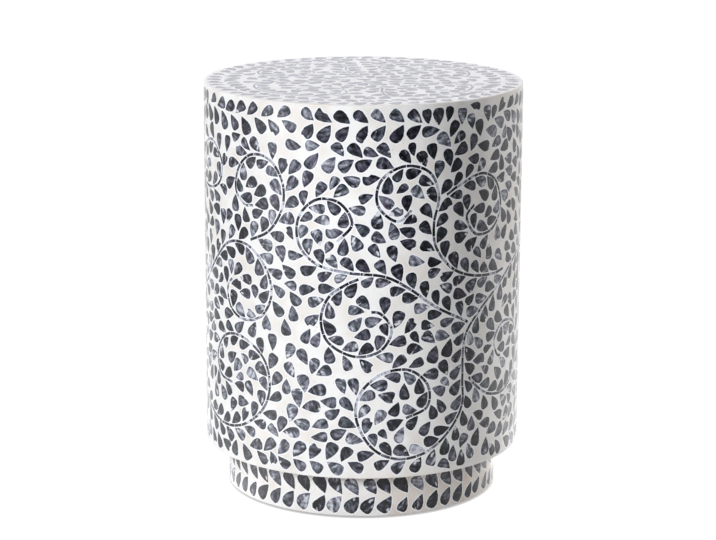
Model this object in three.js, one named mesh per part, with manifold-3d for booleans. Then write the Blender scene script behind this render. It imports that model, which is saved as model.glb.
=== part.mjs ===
// A round drum stool inlaid with mother-of-pearl leaves in white resin.
// The frame stands with +Z up and its origin on the floor, under the middle of the drum.
import * as THREE from 'three';
import { mergeVertices } from 'three/addons/utils/BufferGeometryUtils.js';
import Module from 'manifold-3d';

const wasm = await Module();
wasm.setup();

// Driving sizes, in millimetres
const drumDiameter = 350;
const drumHeight = 402;
const plinthDiameter = 300;
const plinthHeight = 53;

// Faces round the turned pieces: nested pieces share a count, so that they lie face to face
const drumFaces = 48;
const plinthFaces = 52;

// The film of glue between two pieces, and how far a cutting solid runs past what it cuts
const glueLine = 0.3;
const overrun = 4;

// Skins of the inlay, counted inwards from the polished surface
const resinThickness = 2.2;
const bedThickness = 1;

// Carcass
const wallPlyThickness = 5;
const seamWidth = 1;
const boardThickness = 18;
const postWidth = 30;
const postCount = 4;
const middleBoardShare = 0.5;

// Plinth
const plinthPlyThickness = 12;
const blockWidth = 60;
const blockDepth = 30;
const blockScrewShare = 0.25;
const blockGlideShare = 0.75;

// Wood screws
const screwLength = 50;
const screwShankDiameter = 4.5;
const screwHeadDiameter = 9;
const screwHeadHeight = 3;
const screwPointLength = 6;
const screwFaces = 6;
const blockScrewGrip = 14;
const counterboreDiameter = 12;

// Nail-on glides
const glideHeight = 2.5;
const glideDiameter = 22;
const glideEdge = 1;
const glideNailDiameter = 2.5;
const glideNailLength = 12;
const glideFaces = 10;

// Leaves of shell, each an uneven teardrop drawn from its tip along its length and across its width
const leafLength = 19;
const leafWidth = 11.5;
const leafOutlineShares = [[0, 0], [0.6, -0.5], [1, -0.2], [1, 0.24], [0.52, 0.5]];

// Bands of leaf pairs, one pair on each face of the plinth and of the drum's rim. The tips meet at
// the heart of the band, and lie at a share of the face's width. The plinth's leaves are larger
// than the drum's and stand steeper.
const leafTilt = THREE.MathUtils.degToRad(50);
const tipGap = 2;
const plinthLeafTilt = THREE.MathUtils.degToRad(57);
const plinthLeafShare = 1.15;
const plinthTipShare = 0.9;
const plinthHeartShare = 0.465;
const rimTipShare = 0.85;
const rimHeartShare = 0.945;

// Wreath of leaf pairs round the top, whose line keeps its distance from the top's edge
const wreathPairs = 15;
const wreathInset = 21;

// Radii of the drum, worked out from its polished surface inwards
const drumRadius = drumDiameter / 2;
const drumResinInner = drumRadius - resinThickness;
const drumBedOuter = drumResinInner - glueLine;
const drumBedInner = drumBedOuter - bedThickness;
const outerPlyOuter = drumBedInner - glueLine;
const outerPlyInner = outerPlyOuter - wallPlyThickness;
const innerPlyOuter = outerPlyInner - glueLine;
const innerPlyInner = innerPlyOuter - wallPlyThickness;
const boardRadius = innerPlyInner - glueLine;

// Radii of the plinth
const plinthRadius = plinthDiameter / 2;
const plinthResinInner = plinthRadius - resinThickness;
const plinthBedOuter = plinthResinInner - glueLine;
const plinthBedInner = plinthBedOuter - bedThickness;
const plinthPlyOuter = plinthBedInner - glueLine;
const plinthPlyInner = plinthPlyOuter - plinthPlyThickness;

// Heights above the floor
const drumBottom = plinthHeight;
const drumTop = drumBottom + drumHeight;
const topResinBottom = drumTop - resinThickness;
const topBedTop = topResinBottom - glueLine;
const topBedBottom = topBedTop - bedThickness;
const carcassTop = topBedBottom - glueLine;
const topBoardBottom = carcassTop - boardThickness;
const bottomBoardTop = drumBottom + boardThickness;
const postBottom = bottomBoardTop + glueLine;
const postTop = topBoardBottom - glueLine;
const middleBoardHeart = THREE.MathUtils.lerp(postBottom, postTop, middleBoardShare);
const middleBoardBottom = middleBoardHeart - boardThickness / 2;
const plinthBottom = glideHeight;
const plinthTop = drumBottom - glueLine;

// The middle of the pattern faces the front, and its first axis runs to the right of it
const frontAngle = -Math.PI / 2;

// Materials
const polishedResin = new THREE.MeshStandardMaterial({ color: 0xece9e2, roughness: 0.12, metalness: 0 });
const darkShell = new THREE.MeshStandardMaterial({ color: 0x3d4046, roughness: 0.15, metalness: 0 });
const birchPly = new THREE.MeshStandardMaterial({ color: 0xcdb183, roughness: 0.7, metalness: 0 });
const fibreBoard = new THREE.MeshStandardMaterial({ color: 0x9a7a55, roughness: 0.85, metalness: 0 });
const pine = new THREE.MeshStandardMaterial({ color: 0xd2b27e, roughness: 0.75, metalness: 0 });
const screwSteel = new THREE.MeshStandardMaterial({ color: 0xb9a765, roughness: 0.35, metalness: 1 });
const glideNylon = new THREE.MeshStandardMaterial({ color: 0x2b2622, roughness: 0.5, metalness: 0 });

// Turn a closed geometry into a solid whose faces point out
function solidOf(source) {
  const plain = source.index ? source.toNonIndexed() : source.clone();
  plain.deleteAttribute('normal');
  plain.deleteAttribute('uv');
  const merged = mergeVertices(plain);
  const points = merged.getAttribute('position');
  const corners = merged.getIndex().array;
  const kept = [];
  const a = new THREE.Vector3();
  const b = new THREE.Vector3();
  const c = new THREE.Vector3();
  let volume = 0;
  for (let i = 0; i < corners.length; i += 3) {
    const [p, q, r] = [corners[i], corners[i + 1], corners[i + 2]];
    if (p === q || q === r || r === p) continue;
    kept.push(p, q, r);
    a.fromBufferAttribute(points, p);
    b.fromBufferAttribute(points, q);
    c.fromBufferAttribute(points, r);
    volume += a.dot(b.cross(c));
  }
  if (volume < 0) kept.reverse();
  const vertProperties = new Float32Array(points.array);
  const triVerts = new Uint32Array(kept);
  return new wasm.Manifold(new wasm.Mesh({ numProp: 3, vertProperties, triVerts }));
}

// Turn a solid back into a geometry
function geometryOf(solid) {
  const mesh = solid.getMesh();
  const geometry = new THREE.BufferGeometry();
  geometry.setAttribute('position', new THREE.BufferAttribute(new Float32Array(mesh.vertProperties), 3));
  geometry.setIndex(new THREE.BufferAttribute(new Uint32Array(mesh.triVerts), 1));
  const flat = geometry.toNonIndexed();
  flat.computeVertexNormals();
  return flat;
}

// Revolve a closed outline of [radius, height] points about the vertical axis
function turned(outline, faces) {
  const closed = [...outline, outline[0]].map(([radius, height]) => new THREE.Vector2(radius, height));
  return solidOf(new THREE.LatheGeometry(closed, faces).rotateX(Math.PI / 2));
}

function ring(outerRadius, innerRadius, bottom, top, faces) {
  const outline = [[innerRadius, bottom], [outerRadius, bottom], [outerRadius, top], [innerRadius, top]];
  return turned(outline, faces);
}

function disc(radius, bottom, top, faces) {
  return turned([[0, bottom], [radius, bottom], [radius, top], [0, top]], faces);
}

// A box that runs between two radii, two heights and across a width, turned to an angle
function radialBox(innerRadius, outerRadius, width, bottom, top, offset = 0, angle = 0) {
  const box = new THREE.BoxGeometry(outerRadius - innerRadius, width, top - bottom);
  box.translate((outerRadius + innerRadius) / 2, offset, (top + bottom) / 2);
  return solidOf(box.rotateZ(angle));
}

// How far out a face may lie so that its corners stay the glue line inside the faces of a bore
function seatRadius(bore, faces, width) {
  const clear = bore * Math.cos(Math.PI / faces) - glueLine;
  return Math.sqrt(clear * clear - width * width / 4);
}

// Grow a closed outline by the same distance all round
function grown(outline, distance) {
  return outline.map((point, i) => {
    const before = outline[(i + outline.length - 1) % outline.length];
    const after = outline[(i + 1) % outline.length];
    const inward = point.clone().sub(before).normalize();
    const onward = after.clone().sub(point).normalize();
    const mitre = new THREE.Vector2(inward.y + onward.y, -inward.x - onward.x);
    return point.clone().addScaledVector(mitre, distance / (1 + inward.dot(onward)));
  });
}

// The outline of a leaf whose tip is at a place and whose round end points along a heading.
// Its size is a share of the drum's leaves.
function leafOutline(tip, heading, side, size) {
  const outline = leafOutlineShares.map(([along, across]) => (
    new THREE.Vector2(along * leafLength, side * across * leafWidth)
      .multiplyScalar(size).rotateAround(new THREE.Vector2(), heading).add(tip)
  ));
  return side < 0 ? outline.reverse() : outline;
}

// A straight cutting solid through one flat face of a round wall, whose middle is at an angle
function faceCutter(outline, angle, innerRadius, outerRadius) {
  const depth = outerRadius - innerRadius;
  const straight = new THREE.ExtrudeGeometry(new THREE.Shape(outline), { depth, bevelEnabled: false });
  const across = new THREE.Vector3(0, 1, 0);
  const up = new THREE.Vector3(0, 0, 1);
  const out = new THREE.Vector3(1, 0, 0);
  straight.translate(0, 0, innerRadius);
  straight.applyMatrix4(new THREE.Matrix4().makeBasis(across, up, out));
  return solidOf(straight).rotate([0, 0, THREE.MathUtils.radToDeg(angle)]);
}

// A cutting solid down through the top
function flatCutter(outline, bottom, top) {
  const depth = top - bottom;
  const flat = new THREE.ExtrudeGeometry(new THREE.Shape(outline), { depth, bevelEnabled: false });
  return solidOf(flat.translate(0, 0, bottom));
}

function joined(solids) {
  return solids.reduce((whole, solid) => whole.add(solid));
}

// Shell standing on its bed, and resin with a matching opening round every piece of shell.
// Each motif is the outline of one piece with the place that its cutter needs.
function inlay(motifs, cutter, bed, sheet, resin) {
  const tiles = joined(motifs.map(({ outline, place }) => cutter(outline, place)));
  const openings = joined(motifs.map(({ outline, place }) => cutter(grown(outline, glueLine), place)));
  return { shell: bed.add(sheet.intersect(tiles)), ground: resin.subtract(openings) };
}

// A band of leaf pairs round a turned piece, each with the angle of the face that it lies on
function leafBand(radius, faces, tipShare, heart, tilt, size) {
  const faceWidth = 2 * radius * Math.sin(Math.PI / faces);
  const motifs = [];
  for (let pair = 0; pair < faces; pair += 1) {
    const place = frontAngle + (pair + 0.5) * 2 * Math.PI / faces;
    for (const side of [-1, 1]) {
      const tip = new THREE.Vector2((tipShare - 0.5) * faceWidth, heart + side * tipGap / 2);
      motifs.push({ outline: leafOutline(tip, Math.PI - side * tilt, side, size), place });
    }
  }
  return motifs;
}

// Leaf pairs in a ring on the top, pointing round it as the drum's do
function leafWreath(radius, pairs) {
  const motifs = [];
  for (let pair = 0; pair < pairs; pair += 1) {
    const angle = pair * 2 * Math.PI / pairs;
    for (const side of [-1, 1]) {
      const reach = radius - side * tipGap / 2;
      const tip = new THREE.Vector2(reach * Math.cos(angle), reach * Math.sin(angle));
      motifs.push({ outline: leafOutline(tip, angle - Math.PI / 2 - side * leafTilt, side, 1) });
    }
  }
  return motifs;
}

function countersunkScrew(headBottom) {
  const top = headBottom + screwLength;
  return turned([
    [0, headBottom],
    [screwHeadDiameter / 2, headBottom],
    [screwShankDiameter / 2, headBottom + screwHeadHeight],
    [screwShankDiameter / 2, top - screwPointLength],
    [0, top],
  ], screwFaces);
}

// The hole that a screw passes, with the glue line of clearance all round and past its point
function screwHole(headBottom) {
  const top = headBottom + screwLength + glueLine;
  const reach = glueLine / Math.cos(Math.PI / screwFaces);
  const head = screwHeadDiameter / 2 + reach * 2;
  const shank = screwShankDiameter / 2 + reach;
  return turned([
    [0, headBottom - overrun],
    [head, headBottom - overrun],
    [head, headBottom],
    [shank, headBottom + screwHeadHeight],
    [shank, top],
    [0, top],
  ], screwFaces);
}

function nailOnGlide() {
  const nail = glideNailDiameter / 2;
  const top = glideHeight + glideNailLength;
  return turned([
    [0, 0],
    [glideDiameter / 2 - glideEdge, 0],
    [glideDiameter / 2, glideEdge],
    [glideDiameter / 2, glideHeight],
    [nail, glideHeight],
    [nail, top],
    [0, top],
  ], glideFaces);
}

function glideHole() {
  const reach = glideNailDiameter / 2 + glueLine / Math.cos(Math.PI / glideFaces);
  return disc(reach, glideHeight - overrun, glideHeight + glideNailLength + glueLine, glideFaces);
}

const stool = new THREE.Group();
const drum = new THREE.Group();
const plinth = new THREE.Group();
stool.add(drum, plinth);

function addPiece(group, name, solid, material) {
  const piece = new THREE.Mesh(geometryOf(solid), material);
  piece.name = name;
  group.add(piece);
}

// Places of the posts and blocks, on the diagonals
const cornerAngles = Array.from({ length: postCount }, (unused, i) => (i + 0.5) * 2 * Math.PI / postCount);
const postOuter = seatRadius(innerPlyInner, drumFaces, postWidth);
const postInner = postOuter - postWidth;
const blockOuter = seatRadius(plinthPlyInner, plinthFaces, blockWidth);
const blockInner = blockOuter - blockDepth;
const blockMiddle = (blockInner + blockOuter) / 2;
const blockScrewOffset = (blockScrewShare - 0.5) * blockWidth;
const blockGlideOffset = (blockGlideShare - 0.5) * blockWidth;
const blockScrewBottom = drumBottom + blockScrewGrip - screwLength;
const postMiddle = (postInner + postOuter) / 2;
const postScrewBottom = drumBottom + glueLine;

function atCorner(solid, angle, radius, offset = 0) {
  return solid.translate([radius, offset, 0]).rotate([0, 0, THREE.MathUtils.radToDeg(angle)]);
}

function screwsUnder(headBottom, radius, offset = 0) {
  return cornerAngles.map((angle) => atCorner(countersunkScrew(headBottom), angle, radius, offset));
}

function holesUnder(headBottom, radius, offset = 0) {
  return cornerAngles.map((angle) => atCorner(screwHole(headBottom), angle, radius, offset));
}

const blockScrewHoles = joined(holesUnder(blockScrewBottom, blockMiddle, blockScrewOffset));
const postScrewHoles = joined(holesUnder(postScrewBottom, postMiddle));

// Boards
addPiece(drum, 'top_board', disc(boardRadius, topBoardBottom, carcassTop, drumFaces), fibreBoard);
const middleBoardTop = middleBoardBottom + boardThickness;
const notches = joined(cornerAngles.map((angle) => radialBox(
  postInner - glueLine,
  postOuter + overrun,
  postWidth + 2 * glueLine,
  middleBoardBottom - overrun,
  middleBoardTop + overrun,
  0,
  angle,
)));
addPiece(
  drum,
  'middle_board',
  disc(boardRadius, middleBoardBottom, middleBoardTop, drumFaces).subtract(notches),
  fibreBoard,
);
const bottomBoard = disc(boardRadius, drumBottom, bottomBoardTop, drumFaces)
  .subtract(blockScrewHoles)
  .subtract(postScrewHoles);
addPiece(drum, 'bottom_board', bottomBoard, fibreBoard);

// Bent ply wall in two skins, whose butt seams lie on opposite sides
const outerSeam = radialBox(outerPlyInner - overrun, outerPlyOuter + overrun, seamWidth,
  drumBottom - overrun, carcassTop + overrun, 0, Math.PI / 2);
const innerSeam = radialBox(innerPlyInner - overrun, innerPlyOuter + overrun, seamWidth,
  drumBottom - overrun, carcassTop + overrun, 0, -Math.PI / 2);
addPiece(drum, 'outer_wall_ply',
  ring(outerPlyOuter, outerPlyInner, drumBottom, carcassTop, drumFaces).subtract(outerSeam), birchPly);
addPiece(drum, 'inner_wall_ply',
  ring(innerPlyOuter, innerPlyInner, drumBottom, carcassTop, drumFaces).subtract(innerSeam), birchPly);

// Posts and the screws that hold them to the bottom board
const postScrews = screwsUnder(postScrewBottom, postMiddle);
cornerAngles.forEach((angle, i) => {
  const post = radialBox(postInner, postOuter, postWidth, postBottom, postTop, 0, angle);
  addPiece(drum, `post_${i + 1}`, post.subtract(postScrewHoles), pine);
  addPiece(drum, `post_screw_${i + 1}`, postScrews[i], screwSteel);
});

// Plinth: ring, glue blocks, their screws and the glides
addPiece(plinth, 'plinth_ring',
  ring(plinthPlyOuter, plinthPlyInner, plinthBottom, plinthTop, plinthFaces), birchPly);
const blockScrews = screwsUnder(blockScrewBottom, blockMiddle, blockScrewOffset);
cornerAngles.forEach((angle, i) => {
  const counterbore = disc(counterboreDiameter / 2, plinthBottom - overrun, blockScrewBottom, screwFaces);
  const block = radialBox(blockInner, blockOuter, blockWidth, plinthBottom, plinthTop, 0, angle)
    .subtract(blockScrewHoles)
    .subtract(atCorner(counterbore, angle, blockMiddle, blockScrewOffset))
    .subtract(atCorner(glideHole(), angle, blockMiddle, blockGlideOffset));
  addPiece(plinth, `glue_block_${i + 1}`, block, pine);
  addPiece(plinth, `block_screw_${i + 1}`, blockScrews[i], screwSteel);
  const glide = atCorner(nailOnGlide(), angle, blockMiddle, blockGlideOffset);
  addPiece(plinth, `glide_${i + 1}`, glide, glideNylon);
});

// Inlay of the drum's side
const rimHeart = drumBottom + rimHeartShare * drumHeight;
const sideInlay = inlay(
  leafBand(drumRadius, drumFaces, rimTipShare, rimHeart, leafTilt, 1),
  (outline, place) => faceCutter(outline, place, drumBedInner - overrun, drumRadius + overrun),
  ring(drumBedOuter, drumBedInner, drumBottom, carcassTop, drumFaces),
  ring(drumRadius, drumBedOuter - bedThickness / 2, drumBottom, carcassTop, drumFaces),
  ring(drumRadius, drumResinInner, drumBottom, topBedTop, drumFaces),
);
addPiece(drum, 'side_shell_inlay', sideInlay.shell, darkShell);
addPiece(drum, 'side_resin_ground', sideInlay.ground, polishedResin);

// Inlay of the top
const topInlay = inlay(
  leafWreath(drumRadius - wreathInset, wreathPairs),
  (outline) => flatCutter(outline, topBedTop - bedThickness / 2, drumTop + overrun),
  disc(drumBedOuter, topBedBottom, topBedTop, drumFaces),
  disc(drumRadius, topBedBottom, drumTop, drumFaces),
  disc(drumRadius, topResinBottom, drumTop, drumFaces),
);
addPiece(drum, 'top_shell_inlay', topInlay.shell, darkShell);
addPiece(drum, 'top_resin_ground', topInlay.ground, polishedResin);

// Inlay of the plinth
const plinthHeart = THREE.MathUtils.lerp(plinthBottom, plinthTop, plinthHeartShare);
const plinthInlay = inlay(
  leafBand(plinthRadius, plinthFaces, plinthTipShare, plinthHeart, plinthLeafTilt, plinthLeafShare),
  (outline, place) => faceCutter(outline, place, plinthBedInner - overrun, plinthRadius + overrun),
  ring(plinthBedOuter, plinthBedInner, plinthBottom, plinthTop, plinthFaces),
  ring(plinthRadius, plinthBedOuter - bedThickness / 2, plinthBottom, plinthTop, plinthFaces),
  ring(plinthRadius, plinthResinInner, plinthBottom, plinthTop, plinthFaces),
);
addPiece(plinth, 'plinth_shell_inlay', plinthInlay.shell, darkShell);
addPiece(plinth, 'plinth_resin_ground', plinthInlay.ground, polishedResin);

export default stool;
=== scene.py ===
import bpy
import numpy as np
from mathutils import Matrix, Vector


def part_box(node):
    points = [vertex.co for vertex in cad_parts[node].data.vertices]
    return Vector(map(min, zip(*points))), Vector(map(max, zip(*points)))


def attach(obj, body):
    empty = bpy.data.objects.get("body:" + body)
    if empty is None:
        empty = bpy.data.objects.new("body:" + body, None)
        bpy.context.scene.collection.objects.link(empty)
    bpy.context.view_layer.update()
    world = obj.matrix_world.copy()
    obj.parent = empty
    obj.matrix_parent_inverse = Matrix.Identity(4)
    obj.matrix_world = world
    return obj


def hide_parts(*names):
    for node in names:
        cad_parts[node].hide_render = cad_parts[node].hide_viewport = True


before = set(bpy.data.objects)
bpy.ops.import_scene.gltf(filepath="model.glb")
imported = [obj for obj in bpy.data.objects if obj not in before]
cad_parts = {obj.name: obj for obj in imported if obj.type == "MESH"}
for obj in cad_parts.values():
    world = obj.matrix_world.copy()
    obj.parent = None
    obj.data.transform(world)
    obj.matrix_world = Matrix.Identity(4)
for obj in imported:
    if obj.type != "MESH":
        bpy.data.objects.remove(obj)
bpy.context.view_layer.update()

# Camera
# The photograph's view: a long lens about 2.7 metres off, above the seat, looking a little down on it.
# The floor is level with the bottom of the plinth, and the camera looks along the frame's Y.
mm = 0.001
camera_place = np.array([0.0, -2.6428, 0.8658])
camera_pitch = -0.2325
camera_yaw = -0.0019
camera_roll = 0.0046
camera_lens = 122.308
sensor_width = 36.0
camera_reach = 60.0


def camera_axes(yaw, pitch, roll):
    """Right, up and back of the camera. Yaw and pitch turn forward, and the other two roll about it."""
    forward = np.array([np.sin(yaw) * np.cos(pitch), np.cos(yaw) * np.cos(pitch), np.sin(pitch)])
    level = np.array([np.cos(yaw), -np.sin(yaw), 0.0])
    upright = np.cross(level, forward)
    right = np.cos(roll) * level + np.sin(roll) * upright
    up = np.cos(roll) * upright - np.sin(roll) * level
    return np.column_stack([right, up, -forward])


camera = bpy.data.cameras.new("photo_camera")
camera.lens = camera_lens
camera.sensor_width = sensor_width
camera.clip_end = camera_reach
camera_object = bpy.data.objects.new("photo_camera", camera)
bpy.context.scene.collection.objects.link(camera_object)
camera_matrix = np.eye(4)
camera_matrix[:3, :3] = camera_axes(camera_yaw, camera_pitch, camera_roll)
camera_matrix[:3, 3] = camera_place
camera_object.matrix_world = Matrix(camera_matrix.tolist())
bpy.context.scene.camera = camera_object

# Boards
# Three round boards of medium-density fibreboard close and stiffen the drum at its top, middle and foot.
# They are sawn to a circle, and glue and screws hold them to the posts.
board_nodes = ["top_board", "middle_board", "bottom_board"]
fibre_patches = 950.0
fibre_relief = (0.5, 0.3 * mm)
pressed_patches = 35.0
pressed_edges = (0.45, 0.75)
pressed_strength = 0.35
board_roughness = (0.72, 0.9)
# Nearly all of a noise figure lies in the first range, and most of it in the second
figure_range = (0.3, 0.7)
figure_middle = (0.35, 0.65)


def refinish(names, material):
    """Gives carried-over CAD nodes a better material in each of their slots."""
    for name in names:
        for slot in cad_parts[name].material_slots:
            slot.material = material


def put(tree, kind, inputs=None, **settings):
    """Adds a node to a tree. Sockets given as inputs are linked, and values and settings are written."""
    node = tree.nodes.new(kind)
    for name, value in settings.items():
        setattr(node, name, value)
    for key, value in (inputs or {}).items():
        if isinstance(value, bpy.types.NodeSocket):
            tree.links.new(value, node.inputs[key])
        else:
            node.inputs[key].default_value = value
    return node


def feed(tree, node, **values):
    """Links values in a tree to a node's inputs. An underscore in a name stands for a space."""
    for key, value in values.items():
        tree.links.new(value, node.inputs[key.replace("_", " ")])


def spread(tree, value, low, high, out_low=0.0, out_high=1.0):
    """A value mapped from one range to another and held inside it."""
    terms = {"Value": value, "From Min": low, "From Max": high, "To Min": out_low, "To Max": out_high}
    return put(tree, "ShaderNodeMapRange", terms).outputs["Result"]


def blended(tree, share, first, second):
    """A colour that goes from the first to the second as the share goes from nothing to one."""
    mix = put(tree, "ShaderNodeMix", {"Factor": share}, data_type="RGBA")
    for socket, colour in zip([s for s in mix.inputs if s.type == "RGBA"], (first, second)):
        if isinstance(colour, bpy.types.NodeSocket):
            tree.links.new(colour, socket)
        else:
            socket.default_value = colour
    return next(s for s in mix.outputs if s.type == "RGBA")


def tint(red, green, blue):
    """A colour as a screen shows it, from nothing to 255, in the renderer's own straight-line light."""
    share = np.array([red, green, blue]) / 255
    light = np.where(share > 0.04045, ((share + 0.055) / 1.055) ** 2.4, share / 12.92)
    return (*light.tolist(), 1.0)


def figure(tree, where, scale, detail=2.0, turn=None):
    """A noise figure's strength at a place. Scale is how many of its patches there are in a metre."""
    terms = {"Vector": where, "Scale": scale, "Detail": detail}
    if turn is None:
        return put(tree, "ShaderNodeTexNoise", terms).outputs[0]
    return put(tree, "ShaderNodeTexNoise", {**terms, "W": turn}, noise_dimensions="4D").outputs[0]


def new_finish(name, **fixed):
    """A material with its Principled shader, whose plain numbers are set on the shader's own sockets."""
    material = bpy.data.materials.new(name)
    material.use_nodes = True
    tree = material.node_tree
    shader = tree.nodes["Principled BSDF"]
    for key, value in fixed.items():
        shader.inputs[key.replace("_", " ")].default_value = value
    return material, tree, shader


def here_in(tree):
    """The place on the piece, in metres, as a material or a node group reads it."""
    return put(tree, "ShaderNodeTexCoord").outputs["Object"]


def relief(tree, height, strength, depth):
    """A normal bent by a figure's height, which stands as deep as is said."""
    terms = {"Height": height, "Strength": strength, "Distance": depth}
    return put(tree, "ShaderNodeBump", terms).outputs["Normal"]


board_middling = tint(150, 122, 90)
board_pale = tint(190, 164, 128)
board_dark = tint(136, 108, 78)
board_finish, board_tree, board_shader = new_finish("sawn_fibreboard", Specular_IOR_Level=0.3)
board_place = here_in(board_tree)
fibres = figure(board_tree, board_place, fibre_patches, 3.0)
pressed = figure(board_tree, board_place, pressed_patches, 3.0)
board_colour = blended(board_tree, spread(board_tree, fibres, *figure_middle), board_middling, board_pale)
darkened = spread(board_tree, pressed, *pressed_edges, 0.0, pressed_strength)
feed(
    board_tree, board_shader,
    Base_Color=blended(board_tree, darkened, board_colour, board_dark),
    Roughness=spread(board_tree, fibres, *figure_range, *board_roughness),
    Normal=relief(board_tree, fibres, *fibre_relief),
)
refinish(board_nodes, board_finish)

# Posts and glue blocks
# Planed pine: four square posts stand between the boards, and four blocks are glued and screwed in the
# corner of the plinth ring and the bottom board. Their grain runs upwards.
pine_nodes = [f"{kind}_{k}" for kind in ("post", "glue_block") for k in (1, 2, 3, 4)]
ring_spacing = 3.2 * mm
# How far apart the rings of the renderer's own wave figure are at a scale of one
plain_ring_spacing = 0.314
ring_strength = 0.45
broad_patches = 130.0
broad_strength = 0.5
pore_edges = (0.55, 0.75)
pore_strength = 0.3
pore_rise = -0.5
pine_relief = (0.3, 0.2 * mm)
pine_pale = tint(222, 190, 146)
pine_dark = tint(176, 132, 84)


def reckon(tree, operation, *terms):
    """One step of arithmetic on values in a tree."""
    return put(tree, "ShaderNodeMath", dict(enumerate(terms)), operation=operation).outputs[0]


def times(tree, first, second):
    """Two places or colours multiplied part by part."""
    return put(tree, "ShaderNodeVectorMath", {0: first, 1: second}, operation="MULTIPLY").outputs[0]


def new_effect(name, inputs, outputs):
    """A node group with named inputs, each a name with its kind and first value, and named outputs.
    Returns its tree, what comes in, and the node that takes what goes out."""
    tree = bpy.data.node_groups.new(name, "ShaderNodeTree")
    for label, kind, value in inputs:
        tree.interface.new_socket(label, in_out="INPUT", socket_type=kind).default_value = value
    for label, kind in outputs:
        tree.interface.new_socket(label, in_out="OUTPUT", socket_type=kind)
    return tree, tree.nodes.new("NodeGroupInput").outputs, tree.nodes.new("NodeGroupOutput")


def effect(tree, group, **inputs):
    """Places a node group in a material's tree with its own values."""
    named = {key.replace("_", " "): value for key, value in inputs.items()}
    return put(tree, "ShaderNodeGroup", named, node_tree=group).outputs


wood_grain, grain_in, grain_out = new_effect(
    "wood_grain",
    [("Stretch", "NodeSocketVector", (1.0, 1.0, 0.05)), ("Pores", "NodeSocketFloat", 700.0),
     ("Light Wood", "NodeSocketColor", pine_pale), ("Dark Wood", "NodeSocketColor", pine_dark)],
    [("Color", "NodeSocketColor"), ("Height", "NodeSocketFloat")],
)
along_grain = times(wood_grain, here_in(wood_grain), grain_in["Stretch"])
broad = figure(wood_grain, along_grain, broad_patches, 2.0)
pores = figure(wood_grain, along_grain, grain_in["Pores"], 2.0)
ring_terms = {
    "Vector": along_grain, "Scale": plain_ring_spacing / ring_spacing, "Distortion": 3.0,
    "Detail": 1.0, "Detail Scale": 0.4,
}
ring_node = put(wood_grain, "ShaderNodeTexWave", ring_terms, wave_type="RINGS", rings_direction="Z")
rings = ring_node.outputs["Fac"]
darkness = reckon(wood_grain, "MULTIPLY", broad, broad_strength)
darkness = reckon(wood_grain, "MULTIPLY_ADD", rings, ring_strength, darkness)
dark_pores = spread(wood_grain, pores, *pore_edges)
darkness = reckon(wood_grain, "MULTIPLY_ADD", dark_pores, pore_strength, darkness)
feed(
    wood_grain, grain_out,
    Color=blended(wood_grain, darkness, grain_in["Light Wood"], grain_in["Dark Wood"]),
    Height=reckon(wood_grain, "MULTIPLY_ADD", pores, pore_rise, rings),
)

pine_finish, pine_tree, pine_shader = new_finish("planed_pine", Specular_IOR_Level=0.35, Roughness=0.62)
pine_grain = effect(pine_tree, wood_grain)
pine_normal = relief(pine_tree, pine_grain["Height"], *pine_relief)
feed(pine_tree, pine_shader, Base_Color=pine_grain["Color"], Normal=pine_normal)
refinish(pine_nodes, pine_finish)

# Plywood walls and plinth ring
# Bent birch plywood in two layers round the boards, and a thicker ring of it for the plinth. The veneers
# show as light and dark lines on the cut edges, and the faces have birch's fine level grain.
ply_nodes = ["outer_wall_ply", "inner_wall_ply", "plinth_ring"]
veneer = 1.3 * mm
layer_edges = (-0.2, 0.2)
layer_strength = 0.45
birch_relief = (0.25, 0.2 * mm)
birch_stretch = (0.2, 0.2, 2.2)
birch_pale = tint(228, 203, 164)
birch_dark = tint(203, 172, 128)
birch_edge = tint(158, 118, 78)
ply_finish, ply_tree, ply_shader = new_finish("bent_birch_ply", Specular_IOR_Level=0.35, Roughness=0.6)
apart = put(ply_tree, "ShaderNodeSeparateXYZ", {0: here_in(ply_tree)}).outputs
level_place = put(ply_tree, "ShaderNodeCombineXYZ", {"X": apart["X"], "Y": apart["Y"]}).outputs[0]
reach_out = put(ply_tree, "ShaderNodeVectorMath", {0: level_place}, operation="LENGTH").outputs["Value"]
layer = reckon(ply_tree, "SINE", reckon(ply_tree, "MULTIPLY", reach_out, np.pi / veneer))
dark_layer = spread(ply_tree, layer, *layer_edges, 0.0, layer_strength)
birch = effect(ply_tree, wood_grain, Stretch=birch_stretch, Light_Wood=birch_pale, Dark_Wood=birch_dark)
feed(
    ply_tree, ply_shader,
    Base_Color=blended(ply_tree, dark_layer, birch["Color"], birch_edge),
    Normal=relief(ply_tree, birch["Height"], *birch_relief),
)
refinish(ply_nodes, ply_finish)

# Screws
# Countersunk yellow-plated steel screws, driven up through the bottom board into the posts, and up through
# the blocks into the bottom board.
screw_nodes = [f"{kind}_screw_{k}" for kind in ("post", "block") for k in (1, 2, 3, 4)]
plating_patches = 260.0
steel_roughness = (0.28, 0.5)
steel_pale = tint(206, 188, 128)
steel_deep = tint(176, 156, 92)
steel_finish, steel_tree, steel_shader = new_finish("yellow_plated_steel", Metallic=1.0)
plating = figure(steel_tree, here_in(steel_tree), plating_patches, 3.0)
feed(
    steel_tree, steel_shader,
    Base_Color=blended(steel_tree, spread(steel_tree, plating, *figure_middle), steel_deep, steel_pale),
    Roughness=spread(steel_tree, plating, *figure_range, *steel_roughness),
)
refinish(screw_nodes, steel_finish)

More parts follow.
